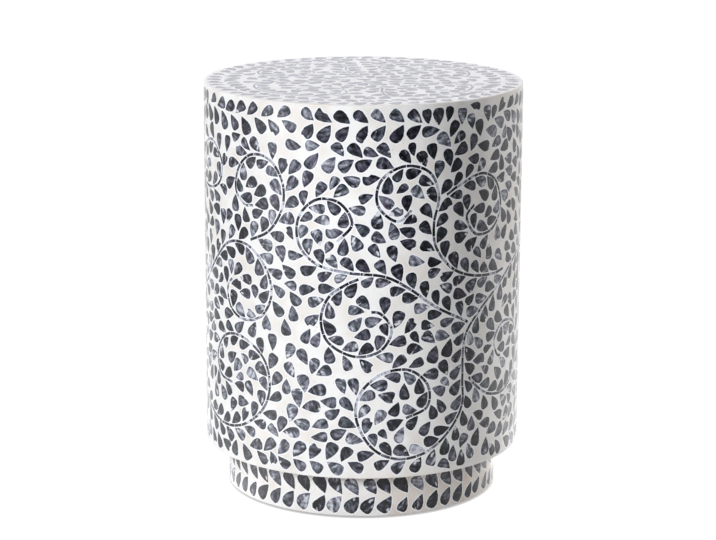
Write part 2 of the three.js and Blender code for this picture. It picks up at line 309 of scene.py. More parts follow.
# Glides
# Four nail-on glides of dark moulded nylon under the glue blocks keep the inlay off the floor.
# Their nails are driven up into the blocks, and their faces scuff in use.
glide_nodes = [f"glide_{k}" for k in (1, 2, 3, 4)]
scuff_patches = 600.0
scuff_edges = (0.5, 0.72)
scuff_strength = 0.5
scuff_relief = (0.2, 0.1 * mm)
nylon_roughness = (0.38, 0.6)
nylon_dark = tint(44, 39, 35)
nylon_scuffed = tint(112, 104, 96)
glide_finish, glide_tree, glide_shader = new_finish("dark_moulded_nylon", Specular_IOR_Level=0.45)
scuffs = spread(glide_tree, figure(glide_tree, here_in(glide_tree), scuff_patches, 3.0), *scuff_edges)
scuff_share = reckon(glide_tree, "MULTIPLY", scuffs, scuff_strength)
feed(
    glide_tree, glide_shader,
    Base_Color=blended(glide_tree, scuff_share, nylon_dark, nylon_scuffed),
    Roughness=spread(glide_tree, scuffs, 0.0, 1.0, *nylon_roughness),
    Normal=relief(glide_tree, scuffs, *scuff_relief),
)
refinish(glide_nodes, glide_finish)

# Drum resin
# The white polyester resin of the drum's side and top, poured round the pieces of shell and polished flush.
# It is one skin over the plywood wall and the top board, with its arrises eased by hand.
side_low, side_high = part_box("side_resin_ground")
top_shell_low, top_shell_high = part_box("top_shell_inlay")
ply_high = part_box("outer_wall_ply")[1]
drum_radius = side_high.x
drum_bottom = side_low.z
drum_top = top_shell_high.z
drum_height = drum_top - drum_bottom
glue_line = 0.3 * mm
shell_proud = 0.05 * mm
top_arris = 1.6 * mm
foot_arris = 0.8 * mm
arris_steps = 7
drum_turns = 432
side_rows = 9
top_ring_shares = [0.75, 0.5, 0.25]


def rounded(centre, radius, start, end):
    """Places along an arc in the radius and height plane: centre plus radius times cosine and sine."""
    turn = np.radians(np.linspace(start, end, arris_steps))
    return np.column_stack([centre[0] + radius * np.cos(turn), centre[1] + radius * np.sin(turn)])


def turned_skin(profile, turns):
    """Revolves a closed outline of radius and height about the axis. Each place on it becomes a ring of
    points at even angles, or one point where the radius is nothing, and rings are joined by bands."""
    angle = np.linspace(0, 2 * np.pi, turns, endpoint=False)
    round_shape = np.column_stack([np.cos(angle), np.sin(angle), np.ones(turns)])
    rings, starts, total = [], [], 0
    for radius, height in profile:
        ring = round_shape * [radius, radius, height] if radius > 0 else np.array([[0.0, 0.0, height]])
        rings.append(ring)
        starts.append(total)
        total += len(ring)
    here = np.arange(turns)
    onward = (here + 1) % turns
    faces = []
    for i, (radius, _) in enumerate(profile):
        j = (i + 1) % len(profile)
        a, b = starts[i], starts[j]
        if radius > 0 and profile[j][0] > 0:
            faces += np.column_stack([a + here, a + onward, b + onward, b + here]).tolist()
        elif radius > 0:
            faces += np.column_stack([a + here, a + onward, np.full(turns, b)]).tolist()
        elif profile[j][0] > 0:
            faces += np.column_stack([np.full(turns, a), b + onward, b + here]).tolist()
    return np.vstack(rings), faces


def new_piece(name, points, faces, material, slot, sharp_angle=35):
    """A mesh object of one named piece at the origin, smooth but for edges sharper than an angle."""
    mesh = bpy.data.meshes.new(name)
    mesh.from_pydata(points.tolist(), [], faces)
    mesh.polygons.foreach_set("use_smooth", np.ones(len(mesh.polygons), bool))
    mesh.set_sharp_from_angle(angle=np.radians(sharp_angle))
    mesh.materials.append(material)
    piece = bpy.data.objects.new(name, mesh)
    bpy.context.scene.collection.objects.link(piece)
    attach(piece, "root")
    return piece


# Marks that sanding and polishing leave: a slow waviness, and short fine scratches that dull the gloss
polish_marks, marks_in, marks_out = new_effect(
    "polish_marks",
    [("Wave Scale", "NodeSocketFloat", 45.0), ("Scratch Scale", "NodeSocketFloat", 900.0)],
    [("Height", "NodeSocketFloat"), ("Dulling", "NodeSocketFloat")],
)
scratch_stretch = (1.0, 1.0, 0.12)
scratch_edges = (0.56, 0.74)
scratch_rise = -0.12
marks_place = here_in(polish_marks)
wave = figure(polish_marks, marks_place, marks_in["Wave Scale"], 1.0)
scratch_place = times(polish_marks, marks_place, scratch_stretch)
scratch = figure(polish_marks, scratch_place, marks_in["Scratch Scale"], 3.0)
scratch = spread(polish_marks, scratch, *scratch_edges)
marks_height = reckon(polish_marks, "MULTIPLY_ADD", scratch, scratch_rise, wave)
feed(polish_marks, marks_out, Height=marks_height, Dulling=scratch)

resin_white = tint(240, 238, 235)
resin_cloud = tint(231, 224, 217)
resin_speck = tint(196, 190, 180)
clouding_patches = 34.0
clouding_edges = (0.42, 0.66)
speck_patches = 420.0
speck_edges = (0.73, 0.78)
speck_strength = 0.6
resin_roughness = 0.17
resin_dulling = 0.12
resin_relief = (0.25, 0.4 * mm)
resin_finish, resin_tree, resin_shader = new_finish("polished_white_resin", Specular_IOR_Level=0.5)
resin_place = here_in(resin_tree)
clouding = spread(resin_tree, figure(resin_tree, resin_place, clouding_patches, 3.0), *clouding_edges)
specks = spread(resin_tree, figure(resin_tree, resin_place, speck_patches, 1.0), *speck_edges)
speck_share = reckon(resin_tree, "MULTIPLY", specks, speck_strength)
resin_colour = blended(resin_tree, clouding, resin_white, resin_cloud)
resin_marks = effect(resin_tree, polish_marks)
feed(
    resin_tree, resin_shader,
    Base_Color=blended(resin_tree, speck_share, resin_colour, resin_speck),
    Roughness=reckon(resin_tree, "MULTIPLY_ADD", resin_marks["Dulling"], resin_dulling, resin_roughness),
    Normal=relief(resin_tree, resin_marks["Height"], *resin_relief),
)

skin_inner = ply_high.x + glue_line
skin_outer = drum_radius - shell_proud
skin_top = drum_top - shell_proud
drum_profile = np.vstack([
    [skin_inner, drum_bottom],
    rounded((skin_outer - foot_arris, drum_bottom + foot_arris), foot_arris, -90, 0),
    np.column_stack([
        np.full(side_rows, skin_outer),
        np.linspace(drum_bottom + foot_arris, skin_top - top_arris, side_rows + 2)[1:-1],
    ]),
    rounded((skin_outer - top_arris, skin_top - top_arris), top_arris, 0, 90),
    [[share * skin_outer, skin_top] for share in top_ring_shares],
    [0.0, skin_top],
    [0.0, top_shell_low.z],
    [skin_inner, top_shell_low.z],
])
drum_resin = new_piece("drum_resin", *turned_skin(drum_profile, drum_turns), resin_finish, "polished_resin")
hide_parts("side_resin_ground", "top_resin_ground")

# Shell leaves and stems of the drum's side
# Teardrops and narrow strips of dark pearl shell, cut by hand and glued on a bed, with resin between them.
# The stems scroll round the wall twice. A leaf's tip lies at its stem, and loose leaves fill what is left.
front = -np.pi / 2
side_repeats = 2
repeat_width = 2 * np.pi * drum_radius / side_repeats
leaf_length = 18.8 * mm
leaf_width = 12.6 * mm
leaf_depth = 1.3 * mm
leaf_points = 16
leaf_heart_share = 0.62
leaf_foot_share = 0.97
head_crowding = 0.35
stem_width = 3.0 * mm
saw_cut = 0.55 * mm
leaf_filler_width = 1.2 * mm
stem_filler_width = 1.7 * mm
filler_lap = 0.3 * mm
filler_depths = (0.012 * mm, 0.036 * mm)
filler_bed = 0.3 * mm
stem_slack = 0.7 * mm
side_border = 3.5 * mm
top_border = 3.0 * mm
map_step = 0.5 * mm
path_step = 1.0 * mm
curve_steps = 24
stem_thinning = 4
leaf_disc_shares = [(0.04, 0.05), (0.2, 0.17), (0.44, 0.36), (0.72, 0.49)]

# How leaves stand along a stem and along a row: how far apart, how far off, how much turned, and their gaps
stem_laying = {"pitch": 17.8 * mm, "off": 2.4 * mm, "lean": 0.72, "gap": 1.3 * mm}
garland_laying = {"pitch": 19.4 * mm, "off": 1.1 * mm, "lean": 1.0, "gap": 1.3 * mm, "grown": 1.08}
first_shares = (0.25, 0.75)
lean_spread = 0.12
size_range = (0.93, 1.06)
sizes_tried = (1, 0.9)
turns_tried = (0, 0.2, -0.2, 0.4, -0.4)
end_turns_tried = (0, 0.3, -0.3, 0.6, -0.6, 0.9, -0.9)

# How loose leaves fill the rest
fill_gap = 1.6 * mm
side_ease = 0.6 * mm
fill_sizes = (1.0, 0.9, 0.8)
fill_spacing = 3 * mm
fill_headings = 16
fill_shift_share = 0.4
flow_lean = 0.85
astray_cost = 1.2 * mm
crowding_reach = 1.5 * leaf_length
press_reach = 12 * mm

# How unlike one another leaves and strips are when cut by hand
blunt_range = (0.58, 0.9)
straight_range = (-0.14, 0.14)
full_range = (0.06, 0.44)
width_range = (0.9, 1.08)
side_spread = 0.12
edge_spread = 0.12 * mm
bend_spread = 0.6 * mm
chipped_share = 0.08
chip_range = (0.5, 0.8)
chip_end_range = (1.0, 1.15)
chip_reach = 4
strip_start = 1.5 * mm
least_strip = 5 * mm
strip_range = (9, 17)

# How leaves that touch are ground down
ground_turns = 12
ground_step = 0.95
ground_margin = 1.04
near_leaf = 22 * mm

# Places of the side's stems, across as a share of a repeat from the front, and up as a share of the height
side_stem_shares = [
    [(-0.24, 0.62), (-0.19, 0.655), (-0.16, 0.72), (-0.16, 0.79), (-0.19, 0.845), (-0.235, 0.85),
     (-0.27, 0.81), (-0.28, 0.75), (-0.255, 0.715), (-0.23, 0.715)],
    [(-0.49, 0.425), (-0.42, 0.465), (-0.36, 0.54), (-0.305, 0.6), (-0.245, 0.605), (-0.2, 0.555),
     (-0.185, 0.485), (-0.21, 0.42), (-0.26, 0.4), (-0.3, 0.425), (-0.31, 0.475), (-0.29, 0.51)],
    [(-0.48, 0.185), (-0.41, 0.12), (-0.335, 0.09), (-0.265, 0.105), (-0.21, 0.16), (-0.19, 0.23),
     (-0.205, 0.305), (-0.26, 0.35), (-0.32, 0.34), (-0.355, 0.28), (-0.34, 0.225), (-0.295, 0.215)],
    [(-0.48, 0.77), (-0.41, 0.73), (-0.345, 0.75), (-0.33, 0.81), (-0.37, 0.86), (-0.42, 0.845),
     (-0.43, 0.795), (-0.405, 0.775)],
    [(0.224, 0.403), (0.205, 0.417), (0.145, 0.46), (0.09, 0.515), (0.04, 0.55), (-0.03, 0.56),
     (-0.09, 0.58), (-0.125, 0.63), (-0.125, 0.7), (-0.09, 0.75), (-0.045, 0.745),
     (-0.02, 0.69), (-0.05, 0.64)],
    [(-0.005, 0.545), (-0.035, 0.525), (-0.066, 0.49), (-0.08, 0.43), (-0.065, 0.37),
     (-0.015, 0.335), (0.035, 0.35), (0.057, 0.405), (0.035, 0.45), (0.01, 0.455)],
    [(0.48, 0.515), (0.445, 0.555), (0.375, 0.53), (0.31, 0.48), (0.255, 0.43), (0.215, 0.365),
     (0.21, 0.255), (0.21, 0.18), (0.18, 0.115), (0.13, 0.065), (0.07, 0.052), (0.02, 0.085),
     (-0.01, 0.16), (-0.005, 0.23), (0.035, 0.285), (0.09, 0.295), (0.13, 0.25), (0.13, 0.19),
     (0.085, 0.163)],
    [(0.225, 0.255), (0.245, 0.225), (0.285, 0.19), (0.345, 0.182), (0.4, 0.225), (0.417, 0.295),
     (0.39, 0.36), (0.335, 0.375), (0.303, 0.335), (0.315, 0.29), (0.335, 0.285)],
    [(0.335, 0.525), (0.295, 0.52), (0.23, 0.53), (0.18, 0.56), (0.145, 0.62), (0.14, 0.685), (0.15, 0.755),
     (0.13, 0.82), (0.08, 0.84), (0.035, 0.805), (0.028, 0.74), (0.065, 0.695), (0.098, 0.728)],
    [(0.165, 0.755), (0.2, 0.78), (0.255, 0.8), (0.3, 0.77), (0.318, 0.7), (0.29, 0.645), (0.24, 0.64),
     (0.215, 0.69), (0.235, 0.72)],
]

# Rows of paired leaves with no stem between them, in the same shares
side_garland_shares = [
    [(-0.49, 0.93), (-0.4, 0.96), (-0.3, 0.95), (-0.165, 0.955)],
    [(0.165, 0.78), (0.18, 0.865), (0.155, 0.93), (0.095, 0.95), (-0.05, 0.95), (-0.115, 0.955)],
    [(0.195, 0.825), (0.24, 0.88), (0.285, 0.94), (0.355, 0.955), (0.48, 0.93)],
    [(-0.29, 0.08), (-0.24, 0.05), (-0.1, 0.045), (-0.03, 0.05)],
    [(0.225, 0.175), (0.25, 0.12), (0.285, 0.07), (0.345, 0.048), (0.47, 0.05)],
    [(-0.18, 0.09), (-0.14, 0.145), (-0.115, 0.205), (-0.1, 0.275)],
    [(0.025, 0.86), (-0.04, 0.865), (-0.115, 0.885)],
    [(0.205, 0.38), (0.125, 0.35)],
]


def smooth_line(places):
    """A Catmull-Rom curve through the places, cut into even steps, with its direction at each step."""
    known = np.asarray(places, float)
    known = np.vstack([2 * known[0] - known[1], known, 2 * known[-1] - known[-2]])
    share = np.linspace(0, 1, curve_steps, endpoint=False)[:, None]
    before, here, after, beyond = known[:-3, None], known[1:-2, None], known[2:-1, None], known[3:, None]
    curve = 0.5 * (
        2 * here + (after - before) * share + (2 * before - 5 * here + 4 * after - beyond) * share**2
        + (3 * here - before - 3 * after + beyond) * share**3
    )
    line = np.vstack([curve.reshape(-1, 2), known[-2]])
    run = np.concatenate([[0], np.cumsum(np.hypot(*np.diff(line, axis=0).T))])
    even = np.arange(0, run[-1], path_step)
    line = np.stack([np.interp(even, run, line[:, 0]), np.interp(even, run, line[:, 1])], 1)
    way = np.gradient(line, axis=0)
    return line, way / np.hypot(way[:, 0], way[:, 1])[:, None]


def leaf_discs(tip, heading, size):
    """The four discs that stand for a leaf where leaves are kept apart: across, up and radius of each."""
    along, radius = np.array(leaf_disc_shares).T
    way = np.stack([np.cos(heading), np.sin(heading)], -1)
    centre = np.asarray(tip)[..., None, :] + way[..., None, :] * (along * leaf_length * size)[:, None]
    reach = np.broadcast_to(radius * leaf_width * size, centre.shape[:-1])
    return np.concatenate([centre, reach[..., None]], -1)


class Ground:
    """A flat ground with a map of how far each spot is from the nearest piece or border."""

    def __init__(self, low, high, clearance, goes_round, ease=0.0):
        self.low = np.array(low)
        self.goes_round = goes_round
        self.ease = ease
        self.leaves = []
        self.count = np.round((np.array(high) - low) / map_step).astype(int)
        across = low[0] + (np.arange(self.count[0]) + 0.5) * map_step
        up = low[1] + (np.arange(self.count[1]) + 0.5) * map_step
        self.across, self.up = np.meshgrid(across, up)
        self.clear = clearance(self.across, self.up)

    def cell(self, place):
        """The column and row of the map where a place lies."""
        column, row = np.moveaxis(np.floor((place - self.low) / map_step).astype(int), -1, 0)
        column = column % self.count[0] if self.goes_round else np.clip(column, 0, self.count[0] - 1)
        return column, np.clip(row, 0, self.count[1] - 1)

    def room(self, discs):
        """The least distance from a leaf's discs to anything laid so far. Right of the front, where leaves
        lie closer, some ease is added as the sine of the place across."""
        column, row = self.cell(discs[..., :2])
        ease = self.ease * np.maximum(np.sin(2 * np.pi * discs[..., 0, 0] / repeat_width), 0)
        return (self.clear[row, column] - discs[..., 2]).min(-1) + ease

    def press(self, discs):
        """Lays discs in the ground: each spot's distance becomes the lesser of the old and the new."""
        steps = np.arange(-int(press_reach / map_step), int(press_reach / map_step) + 1)
        for across, up, radius in discs:
            column, row = self.cell(np.array([across, up]))
            columns, rows = column + steps, row + steps
            if self.goes_round:
                columns = columns % self.count[0]
            else:
                columns = columns[(columns >= 0) & (columns < self.count[0])]
            rows = rows[(rows >= 0) & (rows < self.count[1])]
            part = np.ix_(rows, columns)
            away = self.across[part] - across
            if self.goes_round:
                away -= repeat_width * np.round(away / repeat_width)
            self.clear[part] = np.minimum(self.clear[part], np.hypot(away, self.up[part] - up) - radius)

    def lay(self, tip, heading, size):
        """Lays a leaf."""
        self.press(leaf_discs(tip, heading, size))
        self.leaves.append((tip[0], tip[1], heading, size))


def lay_stems(ground, lines):
    """Presses the stems a little narrower than they are, so that leaf tips may come close to them."""
    for line, _ in lines:
        ground.press([(across, up, stem_width / 2 - stem_slack) for across, up in line[::2]])


def lay_along(ground, line, way, pitch, off, lean, gap, rng, grown=1.0):
    """Leaves on both sides of a line. Each is laid at the first step where it is clear of the others."""
    for side, first_share in zip((1, -1), first_shares):
        at = int(first_share * pitch / path_step)
        while at < len(line) - 2:
            out = side * np.array([-way[at, 1], way[at, 0]])
            turned = lean + rng.uniform(-lean_spread, lean_spread)
            heading = np.arctan2(way[at, 1], way[at, 0]) + side * turned
            size = grown * rng.uniform(*size_range)
            tip = line[at] + out * off
            tries = [(size * less, heading + side * turn) for less in sizes_tried for turn in turns_tried]
            fits = [t for t in tries if ground.room(leaf_discs(tip, t[1], t[0])) >= gap]
            if fits:
                ground.lay(tip, fits[0][1], fits[0][0])
            at += int(pitch / path_step) if fits else 2
    end = np.arctan2(way[-1, 1], way[-1, 0])
    tries = [end + turn for turn in end_turns_tried]
    tips = [line[-1] + stem_width * np.array([np.cos(turn), np.sin(turn)]) for turn in tries]
    fits = [(tip, turn) for tip, turn in zip(tips, tries) if ground.room(leaf_discs(tip, turn, 1)) >= gap]
    if fits:
        ground.lay(*fits[0], 1)


def fill_ground(ground, lines, rng):
    """Fills what is left with loose leaves, always the one that fits closest and lies best with a stem."""
    stem = np.vstack([line for line, _ in lines])[::stem_thinning]
    way = np.vstack([way for _, way in lines])[::stem_thinning]
    high = ground.low + ground.count * map_step
    grid = np.stack(np.meshgrid(*(np.arange(a, b, fill_spacing) for a, b in zip(ground.low, high))), -1)
    shift = rng.uniform(-fill_shift_share, fill_shift_share, (grid.size // 2, 2)) * fill_spacing
    grid = grid.reshape(-1, 2) + shift
    apart = grid[:, None] - stem
    if ground.goes_round:
        apart[..., 0] -= repeat_width * np.round(apart[..., 0] / repeat_width)
    near = np.argmin((apart**2).sum(-1), 1)
    apart = np.take_along_axis(apart, near[:, None, None], 1)[:, 0]
    side = np.sign(way[near, 0] * apart[:, 1] - way[near, 1] * apart[:, 0])
    flow = np.arctan2(way[near, 1], way[near, 0]) + side * flow_lean
    turn = np.linspace(-np.pi, np.pi, fill_headings, endpoint=False)
    heading = (flow[:, None] + turn).reshape(-1)
    astray = np.abs(np.tile(turn, len(grid)))
    centre = np.repeat(grid, fill_headings, 0)
    for size in fill_sizes:
        way_in = np.stack([np.cos(heading), np.sin(heading)], 1)
        tip = centre - way_in * leaf_length * size * leaf_heart_share
        discs = leaf_discs(tip, heading, size)
        room = ground.room(discs)
        able = np.nonzero(room >= fill_gap)[0]
        tip_left, discs, room, turned_to = tip[able], discs[able], room[able], heading[able]
        penalty, middle = astray[able] * astray_cost, centre[able]
        while len(room) and room.max() >= fill_gap:
            best = int(np.argmin(np.where(room >= fill_gap, room + penalty, np.inf)))
            ground.lay(tip_left[best], turned_to[best], size)
            away = np.abs(middle - middle[best])
            if ground.goes_round:
                away[:, 0] = np.minimum(away[:, 0], repeat_width - away[:, 0])
            close = np.nonzero((away.max(1) < crowding_reach) & (room >= fill_gap))[0]
            room[close] = ground.room(discs[close])
            room[best] = -1


def bent_round(radius):
    """A way to bend a flat drawing round the axis: arc length over radius is the turn from the front, and
    up stays up."""
    def wrap(flat, depth):
        turn = front + flat[..., 0] / radius
        reach = radius - depth
        return np.stack([reach * np.cos(turn), reach * np.sin(turn), flat[..., 1]], -1)
    return wrap


def cut_leaves(leaves, rng):
    """Outlines of hand-cut teardrops. Along runs from the tip as half of one less the cosine of a turn, and
    across as the turn's sine to one power times its half's sine to another. The first power sets how blunt
    the round end is, and the second how straight each side is. Points crowd towards the round end, and each
    leaf gets its own width, bend, fuller side and unsteady edge."""
    count = len(leaves)
    even = np.linspace(0, 2 * np.pi, leaf_points, endpoint=False)
    turn = even + head_crowding * np.sin(even)
    along = (1 - np.cos(turn)) / 2 + np.zeros((count, 1))
    blunt = rng.uniform(*blunt_range, (count, 1))
    straight = rng.uniform(*straight_range, (count, 1))
    full = rng.uniform(*full_range, (count, 1))
    swap = rng.random((count, 1)) < 0.5
    bulge = np.where((turn < np.pi) == swap, straight, full)
    shape = np.abs(np.sin(turn)) ** blunt * np.abs(np.sin(turn / 2)) ** (2 - blunt - bulge)
    across = -np.sign(np.sin(turn)) * shape / shape.max(1, keepdims=True) / 2
    across = across * rng.uniform(*width_range, (count, 1))
    across = across * (1 + np.sign(across) * rng.normal(0, side_spread, (count, 1)))
    length = leaf_length * leaves[:, 3:4]
    x = along * length + rng.normal(0, edge_spread, along.shape)
    y = across * leaf_width * leaves[:, 3:4] + rng.normal(0, edge_spread, along.shape)
    bend = rng.normal(0, bend_spread, (count, 1))
    y = y + bend * (4 * along * (1 - along) - 0.5)
    chipped = np.nonzero(rng.random(count) < chipped_share)[0]
    where = leaf_points // 2 + rng.integers(-chip_reach, chip_reach, len(chipped))
    keep = np.ones(along.shape)
    keep[chipped, where] = rng.uniform(*chip_range, len(chipped))
    keep[chipped, where + 1] = keep[chipped, where] * rng.uniform(*chip_end_range, len(chipped))
    heart = leaf_heart_share * length
    return heart + (x - heart) * keep, y * keep, length


def laid_out(x, y, leaves):
    """Turns places in leaves' own frames to their headings and moves them to their tips."""
    cosine, sine = np.cos(leaves[:, 2:3]), np.sin(leaves[:, 2:3])
    across = leaves[:, 0:1] + x * cosine - y * sine
    up = leaves[:, 1:2] + x * sine + y * cosine
    return np.stack([across, up], -1)


def meets(first, second):
    """Whether outlines meet, pair by pair: whether a ray to the right from any point of the first crosses
    the second an odd number of times. Only a slope with some height can be crossed."""
    point, here, onward = first[:, :, None], second[:, None], np.roll(second, -1, 1)[:, None]
    rise = onward[..., 1] - here[..., 1]
    level = point[..., 1] - here[..., 1]
    crossed = (here[..., 1] > point[..., 1]) != (onward[..., 1] > point[..., 1])
    at = here[..., 0] + level * (onward[..., 0] - here[..., 0]) / np.where(crossed, rise, 1)
    return ((crossed & (point[..., 0] < at)).sum(-1) % 2 == 1).any(-1)


def ground_down(leaves, cut, around, past_edge, strips=None):
    """Grinds leaves that touch another or a strip, or lie past an edge, down towards their hearts, a step
    at a time until none does. Outlines are compared with those near them, also over the ground's seam."""
    x, y, length = cut
    heart = leaf_heart_share * length
    fixed = np.empty((0, 1, 2)) if strips is None else strip_outlines(strips)
    for _ in range(ground_turns):
        outline = laid_out(heart + (x - heart) * ground_margin, y * ground_margin, leaves)
        touched = past_edge(outline).any(1)
        for others in (outline, fixed):
            apart = outline.mean(1)[:, None] - others.mean(1)
            over = around * np.round(apart[..., 0] / around)
            apart[..., 0] -= over
            i, j = np.nonzero((np.hypot(*apart.transpose(2, 0, 1)) < near_leaf) & apart.any(-1))
            moved = others[j] + np.stack([over[i, j], np.zeros(len(i))], -1)[:, None]
            hit = meets(outline[i], moved) | meets(moved, outline[i])
            touched[i[hit]] = True
        if not touched.any():
            break
        x = np.where(touched[:, None], heart + (x - heart) * ground_step, x)
        y = np.where(touched[:, None], y * ground_step, y)
    return x, y, length


def leaf_meshes(leaves, cut, wrap):
    """Closed bodies of leaves: an outline below, a slightly larger one above, a ring half way in, and a
    middle. Returns points and faces, and of each point its place in its leaf, the leaf, and if it is at
    the edge."""
    n = leaf_points
    x, y, length = cut
    heart = length * leaf_heart_share
    inner_x, inner_y = heart + (x - heart) / 2, y / 2
    x = np.hstack([heart + (x - heart) * leaf_foot_share, x, inner_x, heart])
    y = np.hstack([y * leaf_foot_share, y, inner_y, np.zeros_like(heart)])
    depth = np.concatenate([np.full(n, leaf_depth), np.zeros(2 * n + 1)])
    points = wrap(laid_out(x, y, leaves), depth)
    k = np.arange(n)
    k1 = (k + 1) % n
    walls = np.column_stack([k, k1, n + k1, n + k])
    slope = np.column_stack([n + k, n + k1, 2 * n + k1, 2 * n + k])
    fan = np.column_stack([2 * n + k, 2 * n + k1, np.full(n, 3 * n)])
    start = np.arange(len(leaves))[:, None, None] * (3 * n + 1)
    faces = []
    for pattern in (np.vstack([walls, slope]), fan, k[None, ::-1]):
        faces += (start + pattern).reshape(-1, pattern.shape[1]).tolist()
    owner = np.repeat(np.arange(len(leaves)), 3 * n + 1)
    rim = np.tile(np.concatenate([np.ones(2 * n), np.zeros(n + 1)]), len(leaves))
    return points.reshape(-1, 3), faces, np.stack([x, y], -1).reshape(-1, 2), owner, rim


def cut_stems(lines, rng, stations=5):
    """Cuts lines into strips of uneven length with a saw's width of resin between them. Each strip is a row
    of stations: its middle there, the direction there, and how far along the strip it is."""
    strips = []
    for line, way in lines:
        run = np.arange(len(line)) * path_step
        at = strip_start
        while at < run[-1] - least_strip:
            end = min(at + rng.uniform(*strip_range) * mm, run[-1])
            s = np.linspace(at, end, stations)
            middle = np.stack([np.interp(s, run, line[:, 0]), np.interp(s, run, line[:, 1])], 1)
            heading = np.stack([np.interp(s, run, way[:, 0]), np.interp(s, run, way[:, 1])], 1)
            heading /= np.hypot(heading[:, 0], heading[:, 1])[:, None]
            strips.append(np.column_stack([middle, heading, s - at]))
            at = end + saw_cut
    return np.array(strips)


def stem_meshes(strips, wrap):
    """Closed bodies of strips: at each station the middle plus and minus half a width, above and below."""
    count, stations = strips.shape[:2]
    out = np.stack([-strips[..., 3], strips[..., 2]], -1)
    left, right = (strips[..., :2] + side * out * stem_width / 2 for side in (1, -1))
    flat = np.stack([left, right, right, left], 2)
    points = wrap(flat, np.array([0, 0, leaf_depth, leaf_depth]))
    here = np.arange(stations - 1)[:, None] * 4
    corners = ((1, 0), (0, 3), (3, 2), (2, 1))
    sides = [np.column_stack([here + a, here + 4 + a, here + 4 + b, here + b]) for a, b in corners]
    last = 4 * (stations - 1)
    ends = np.array([[0, 3, 2, 1], [last + 1, last + 2, last + 3, last]])
    pattern = np.vstack(sides + [ends])
    faces = (np.arange(count)[:, None, None] * 4 * stations + pattern).reshape(-1, 4).tolist()
    across = np.broadcast_to(np.array([1, -1, -1, 1]) * stem_width / 2, flat.shape[:-1])
    along = np.broadcast_to(strips[..., 4:5], flat.shape[:-1])
    place = np.stack([along, across], -1).reshape(-1, 2)
    owner = np.repeat(np.arange(count), 4 * stations)
    return points.reshape(-1, 3), faces, place, owner, np.zeros(len(owner))


def strip_outlines(strips):
    """Anticlockwise outlines of strips: along the right side, and back along the left."""
    out = np.stack([-strips[..., 3], strips[..., 2]], -1) * stem_width / 2
    return np.concatenate([strips[..., :2] - out, (strips[..., :2] + out)[:, ::-1]], 1)


def filler_piece(name, outlines, width, wrap, rng):
    """Closed collars of filler round bits of shell, three-sided in section. Each place of an anticlockwise
    outline is moved out, and in under the shell's face, along its normal: a quarter turn from the way
    between the places on its two sides. The section's third corner lies straight under the outline."""
    count, n = outlines.shape[:2]
    way = np.roll(outlines, -1, 1) - np.roll(outlines, 1, 1)
    out = np.stack([way[..., 1], -way[..., 0]], -1) / np.hypot(way[..., 0], way[..., 1])[..., None]
    outer, inner = outlines + out * width, outlines - out * filler_lap
    depth = np.repeat(rng.uniform(*filler_depths, (count, 1)), 3 * n, 1)
    depth[:, 2 * n:] += filler_bed
    points = wrap(np.concatenate([outer, inner, outlines], 1), depth)
    k = np.arange(n)
    k1 = (k + 1) % n
    corners = ((0, 1), (1, 2), (2, 0))
    bands = [np.column_stack([a * n + k, a * n + k1, b * n + k1, b * n + k]) for a, b in corners]
    faces = (np.arange(count)[:, None, None] * 3 * n + np.vstack(bands)).reshape(-1, 4).tolist()
    new_piece(name, points.reshape(-1, 3), faces, filler_finish, "polished_resin")


def shell_piece(name, made, tone, rng):
    """A piece of inlay whose points know their place in their bit of shell, its tone and its own number."""
    points, faces, place, owner, rim = made
    piece = new_piece(name, points, faces, shell_finish, "dark_shell")
    number = rng.uniform(0, 1, owner.max() + 1)
    spot = piece.data.attributes.new("shell_place", "FLOAT_VECTOR", "POINT")
    spot.data.foreach_set("vector", np.column_stack([place, number[owner]]).astype(np.float32).ravel())
    shade = piece.data.attributes.new("shell_tone", "FLOAT", "POINT")
    shade.data.foreach_set("value", tone[owner].astype(np.float32))
    edge = piece.data.attributes.new("shell_rim", "FLOAT", "POINT")
    edge.data.foreach_set("value", rim.astype(np.float32))
    return piece


# Filler worked in round each bit of shell before the last sanding: purer white than the poured resin
filler_patches = 150.0
filler_edges = (0.4, 0.65)
filler_white = tint(243, 243, 245)
filler_shade = tint(237, 237, 239)
filler_finish, filler_tree, filler_shader = new_finish(
    "worked_white_filler", Specular_IOR_Level=0.5, Roughness=0.19)
filler_cloud = figure(filler_tree, here_in(filler_tree), filler_patches, 2.0)
filler_cloud = spread(filler_tree, filler_cloud, *filler_edges)
feed(filler_tree, filler_shader, Base_Color=blended(filler_tree, filler_cloud, filler_white, filler_shade))

# The shell's own figure. Patches in a metre are given along its grain and across it.
shell_cloud_patches = 190.0
band_patches = (60.0, 250.0)
growth_patches = (150.0, 800.0)
painted_flash_patches = (80.0, 200.0)
painted_glint_patches = (110.0, 190.0)
sheen_patches = 95.0
shell_wave_patches = 160.0
shell_roughness = 0.11
shell_dulling = 0.14
shell_relief = (0.3, 0.3 * mm)
growth_rise = 0.25
cloud_strength = 1.2
band_strength = 1.5
growth_strength = 0.5
painted_flash_strength = 0.5
rim_strength = -0.16
painted_flash_edges = (0.55, 0.68)
painted_flash_numbers = (0.35, 0.6)
painted_glint_edges = (0.61, 0.68)
painted_glint_numbers = (0.42, 0.54)
painted_glint_strength = 0.85
violet_edges = (0.56, 0.75)
violet_strength = 0.24
green_edges = (0.44, 0.27)
green_strength = 0.2
shell_tones = [(0.0, tint(14, 15, 20)), (0.3, tint(42, 43, 51)), (0.55, tint(84, 86, 97)),
               (0.8, tint(144, 146, 157)), (1.0, tint(200, 202, 210))]
violet_sheen = tint(118, 99, 130)
green_sheen = tint(88, 108, 104)
painted_glint_white = tint(226, 227, 232)
shell_finish, shell_tree, shell_shader = new_finish("cut_pearl_shell", Specular_IOR_Level=0.5)
spot = put(shell_tree, "ShaderNodeAttribute", attribute_name="shell_place").outputs["Vector"]
cut_tone = put(shell_tree, "ShaderNodeAttribute", attribute_name="shell_tone").outputs["Fac"]
